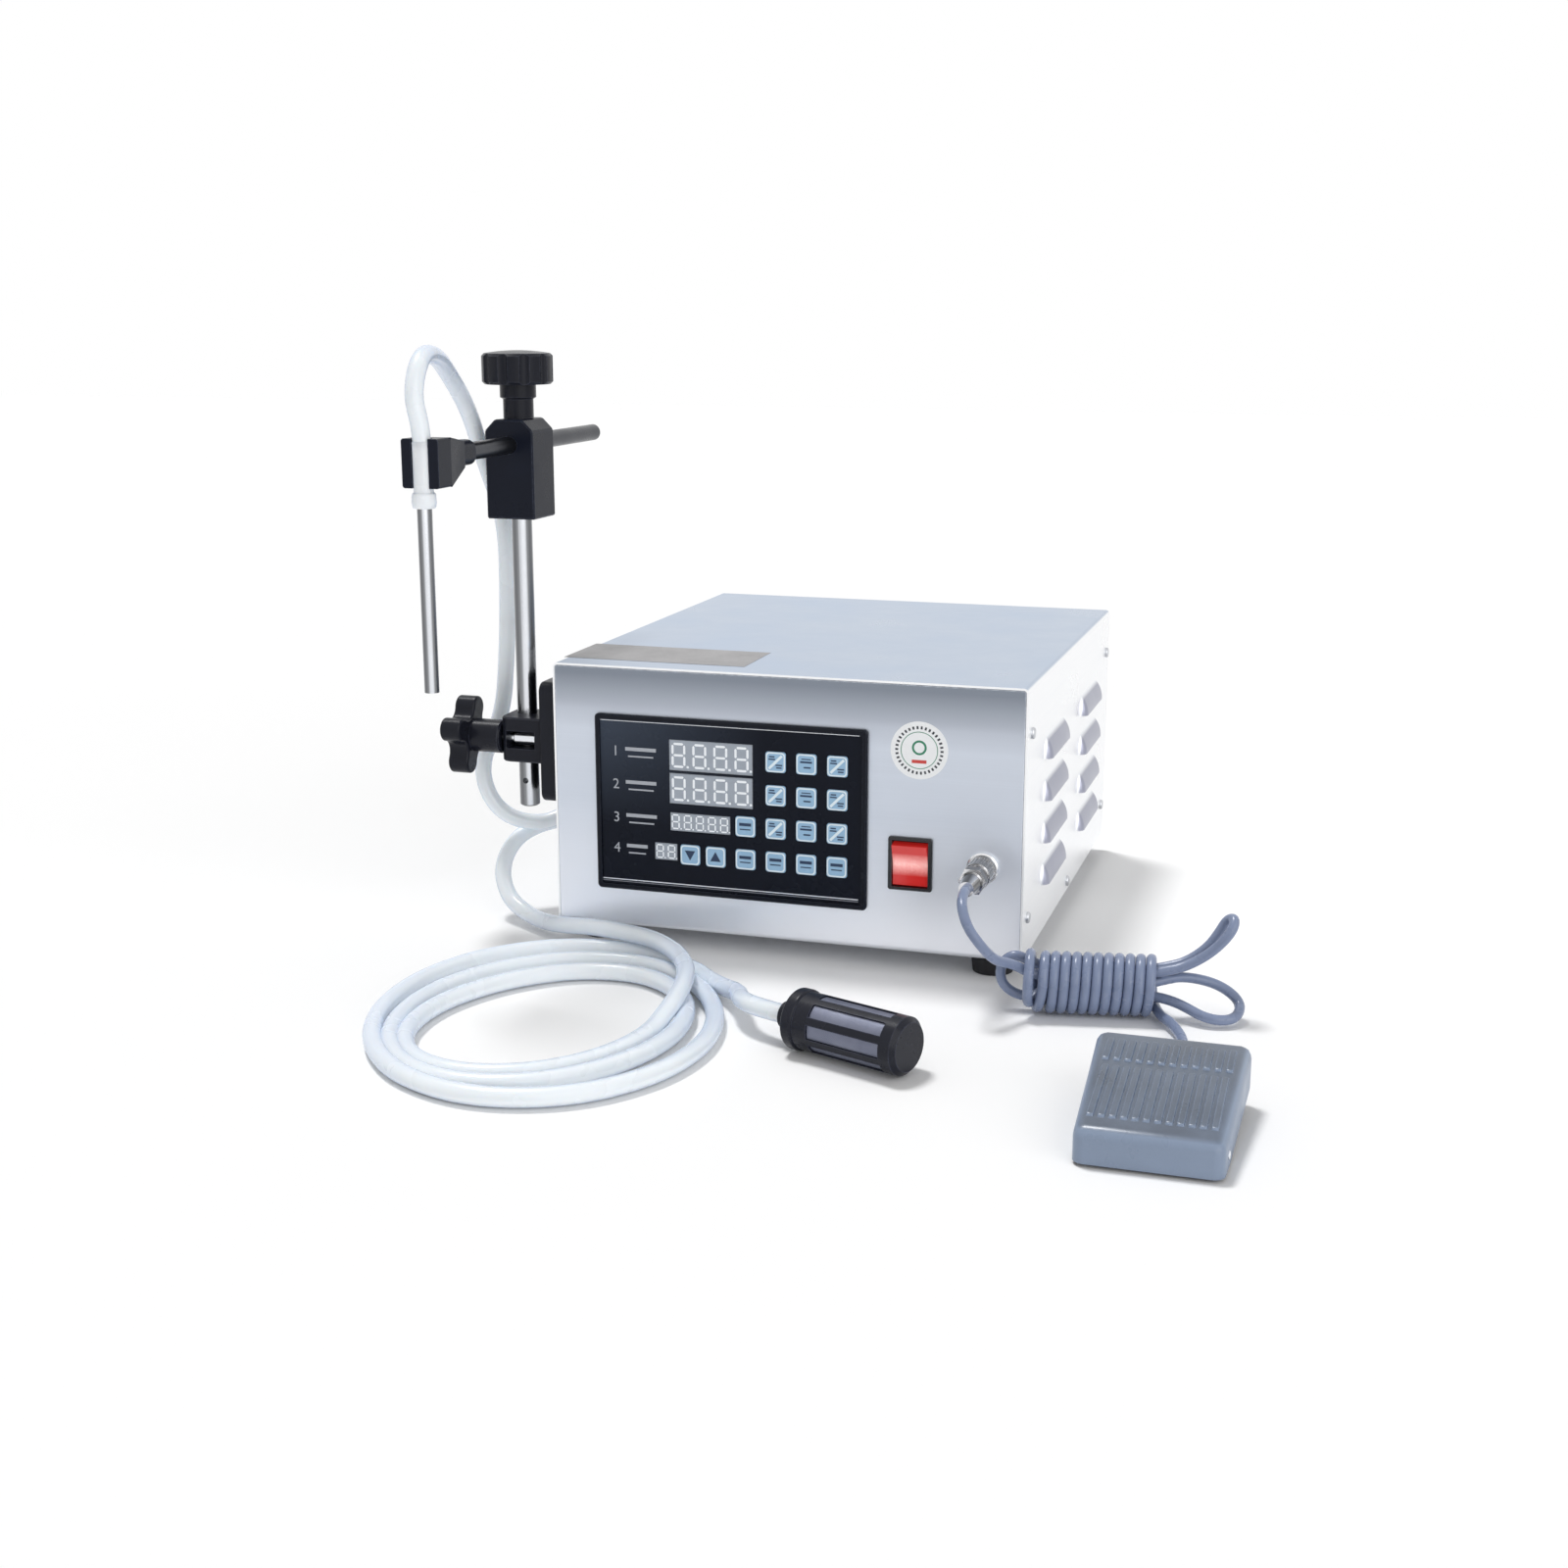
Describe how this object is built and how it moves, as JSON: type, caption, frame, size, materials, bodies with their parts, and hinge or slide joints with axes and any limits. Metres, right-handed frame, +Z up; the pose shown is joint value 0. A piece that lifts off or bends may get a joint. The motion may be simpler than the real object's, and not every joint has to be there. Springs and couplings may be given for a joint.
{
  "type": "liquid filling machine",
  "caption": "Desk liquid filling machine: steel case with keypad, clamped mast with a nozzle on a sliding arm, suction hose with strainer, and a foot pedal on a cable.",
  "frame": {"origin": "on the bench, under the middle of the case", "axes": "+Z up, +X to the right of the panel, +Y to the back; the panel faces -Y"},
  "size_m": [0.4889, 0.6509, 0.3533],
  "materials": {
    "steel_sheet": "fine brushed stainless sheet",
    "bright_steel": "polished",
    "spring_steel": "bright wire",
    "black_plastic": "fine grained",
    "black_alloy": "black anodised, satin",
    "switch_black": "gloss",
    "switch_red": "gloss, lit",
    "panel_rim": "satin",
    "panel_film": "satin film",
    "display_lens": "gloss",
    "key_film": "satin film",
    "board_green": "solder mask",
    "foot_rubber": "matt",
    "clear_hose": "milky silicone",
    "grey_cable": "satin sheath",
    "pedal_grey": "moulded, satin",
    "motor_paint": "semi gloss",
    "pump_plastic": "moulded",
    "supply_alloy": "plain sheet"
  },
  "bodies": {
    "machine": {"base_chassis": "steel_sheet", "top_cover": "steel_sheet", "cover_screws": "bright_steel", "rubber_feet": "foot_rubber", "panel_frame": "panel_rim", "panel_overlay": "panel_film", "digit_displays": "display_lens", "control_board": "board_green", "switch_housing": "switch_black", "foot_socket": "bright_steel", "foot_plug": "bright_steel", "foot_cable_lead": "grey_cable", "foot_cable_hank": "grey_cable", "foot_cable_tail": "grey_cable", "pedal_base": "pedal_grey", "pedal_pin": "bright_steel", "pedal_spring": "spring_steel", "pedal_switch": "switch_black", "pole_bracket": "black_plastic", "outlet_hose_side": "clear_hose", "suction_hose_lead": "clear_hose", "suction_hose_coil": "clear_hose", "suction_hose_tail": "clear_hose", "strainer_cap": "black_plastic", "strainer_cage": "black_plastic", "hose_ports": "bright_steel", "power_inlet": "black_plastic", "pump_motor": "motor_paint", "pump_head": "pump_plastic", "power_supply": "supply_alloy"},
    "key_01_body": {"key_01": "key_film"},
    "key_02_body": {"key_02": "key_film"},
    "key_03_body": {"key_03": "key_film"},
    "key_04_body": {"key_04": "key_film"},
    "key_05_body": {"key_05": "key_film"},
    "key_06_body": {"key_06": "key_film"},
    "key_07_body": {"key_07": "key_film"},
    "key_08_body": {"key_08": "key_film"},
    "key_09_body": {"key_09": "key_film"},
    "key_10_body": {"key_10": "key_film"},
    "key_11_body": {"key_11": "key_film"},
    "key_12_body": {"key_12": "key_film"},
    "key_13_body": {"key_13": "key_film"},
    "key_14_body": {"key_14": "key_film"},
    "key_15_body": {"key_15": "key_film"},
    "key_16_body": {"key_16": "key_film"},
    "rocker": {"switch_rocker": "switch_red"},
    "plug_ring_body": {"plug_ring": "bright_steel"},
    "treadle": {"pedal_treadle": "pedal_grey"},
    "mast": {"pole": "bright_steel", "outlet_hose_rise": "clear_hose"},
    "head_block": {"arm_block": "black_alloy", "outlet_hose_arch": "clear_hose"},
    "arm": {"cross_rod": "bright_steel"},
    "nozzle_group": {"nozzle_holder": "black_plastic", "nozzle": "bright_steel", "outlet_hose_drop": "clear_hose"},
    "head_knob": {"arm_knob": "black_plastic"},
    "star_knob": {"clamp_knob": "black_plastic", "clamp_stud": "bright_steel"}
  },
  "joints": [
    {"name": "key_01_press", "type": "slide", "parent": "machine", "child": "key_01_body", "axis": [0, 1, 0], "range_m": [0, 0.0004], "stiffness_N_per_m": 3500, "springref_m": -0.0003},
    {"name": "key_02_press", "type": "slide", "parent": "machine", "child": "key_02_body", "axis": [0, 1, 0], "range_m": [0, 0.0004], "stiffness_N_per_m": 3500, "springref_m": -0.0003},
    {"name": "key_03_press", "type": "slide", "parent": "machine", "child": "key_03_body", "axis": [0, 1, 0], "range_m": [0, 0.0004], "stiffness_N_per_m": 3500, "springref_m": -0.0003},
    {"name": "key_04_press", "type": "slide", "parent": "machine", "child": "key_04_body", "axis": [0, 1, 0], "range_m": [0, 0.0004], "stiffness_N_per_m": 3500, "springref_m": -0.0003},
    {"name": "key_05_press", "type": "slide", "parent": "machine", "child": "key_05_body", "axis": [0, 1, 0], "range_m": [0, 0.0004], "stiffness_N_per_m": 3500, "springref_m": -0.0003},
    {"name": "key_06_press", "type": "slide", "parent": "machine", "child": "key_06_body", "axis": [0, 1, 0], "range_m": [0, 0.0004], "stiffness_N_per_m": 3500, "springref_m": -0.0003},
    {"name": "key_07_press", "type": "slide", "parent": "machine", "child": "key_07_body", "axis": [0, 1, 0], "range_m": [0, 0.0004], "stiffness_N_per_m": 3500, "springref_m": -0.0003},
    {"name": "key_08_press", "type": "slide", "parent": "machine", "child": "key_08_body", "axis": [0, 1, 0], "range_m": [0, 0.0004], "stiffness_N_per_m": 3500, "springref_m": -0.0003},
    {"name": "key_09_press", "type": "slide", "parent": "machine", "child": "key_09_body", "axis": [0, 1, 0], "range_m": [0, 0.0004], "stiffness_N_per_m": 3500, "springref_m": -0.0003},
    {"name": "key_10_press", "type": "slide", "parent": "machine", "child": "key_10_body", "axis": [0, 1, 0], "range_m": [0, 0.0004], "stiffness_N_per_m": 3500, "springref_m": -0.0003},
    {"name": "key_11_press", "type": "slide", "parent": "machine", "child": "key_11_body", "axis": [0, 1, 0], "range_m": [0, 0.0004], "stiffness_N_per_m": 3500, "springref_m": -0.0003},
    {"name": "key_12_press", "type": "slide", "parent": "machine", "child": "key_12_body", "axis": [0, 1, 0], "range_m": [0, 0.0004], "stiffness_N_per_m": 3500, "springref_m": -0.0003},
    {"name": "key_13_press", "type": "slide", "parent": "machine", "child": "key_13_body", "axis": [0, 1, 0], "range_m": [0, 0.0004], "stiffness_N_per_m": 3500, "springref_m": -0.0003},
    {"name": "key_14_press", "type": "slide", "parent": "machine", "child": "key_14_body", "axis": [0, 1, 0], "range_m": [0, 0.0004], "stiffness_N_per_m": 3500, "springref_m": -0.0003},
    {"name": "key_15_press", "type": "slide", "parent": "machine", "child": "key_15_body", "axis": [0, 1, 0], "range_m": [0, 0.0004], "stiffness_N_per_m": 3500, "springref_m": -0.0003},
    {"name": "key_16_press", "type": "slide", "parent": "machine", "child": "key_16_body", "axis": [0, 1, 0], "range_m": [0, 0.0004], "stiffness_N_per_m": 3500, "springref_m": -0.0003},
    {"name": "power_rocker", "type": "hinge", "parent": "machine", "child": "rocker", "pos_m": [0.0755, -0.146, 0.0645], "axis": [-1, 0, 0], "range_deg": [0, 20]},
    {"name": "plug_ring_turn", "type": "hinge", "parent": "machine", "child": "plug_ring_body", "pos_m": [0.117, -0.161, 0.0655], "axis": [0, -1, 0], "range_deg": [0, 270]},
    {"name": "pedal_press", "type": "hinge", "parent": "machine", "child": "treadle", "pos_m": [0.24, -0.372, 0.0085], "axis": [-1, 0, 0], "range_deg": [0, 6], "stiffness_Nm_per_rad": 4.6, "springref_deg": -1.72, "deforming": ["pedal_spring"]},
    {"name": "pole_slide", "type": "slide", "parent": "machine", "child": "mast", "axis": [0, 0, 1], "range_m": [-0.05, 0.025], "deforming": ["outlet_hose_side"]},
    {"name": "arm_swivel", "type": "hinge", "parent": "mast", "child": "head_block", "pos_m": [-0.168, -0.125, 0.2625], "axis": [0, 0, 1], "range_deg": [-70, 70], "deforming": ["outlet_hose_rise"]},
    {"name": "rod_slide", "type": "slide", "parent": "head_block", "child": "arm", "axis": [0, -1, 0], "range_m": [-0.035, 0.06], "deforming": ["outlet_hose_arch"]},
    {"name": "holder_tilt", "type": "hinge", "parent": "arm", "child": "nozzle_group", "pos_m": [-0.168, -0.205, 0.2915], "axis": [0, 1, 0], "range_deg": [-20, 20], "deforming": ["outlet_hose_drop"]},
    {"name": "arm_knob_turn", "type": "hinge", "parent": "head_block", "child": "head_knob", "pos_m": [-0.168, -0.125, 0.325], "axis": [0, 0, 1], "range_deg": [0, 270]},
    {"name": "clamp_knob_turn", "type": "hinge", "parent": "machine", "child": "star_knob", "pos_m": [-0.19, -0.1354, 0.1185], "axis": [1, 0, 0], "range_deg": [0, 270]}
  ]
}
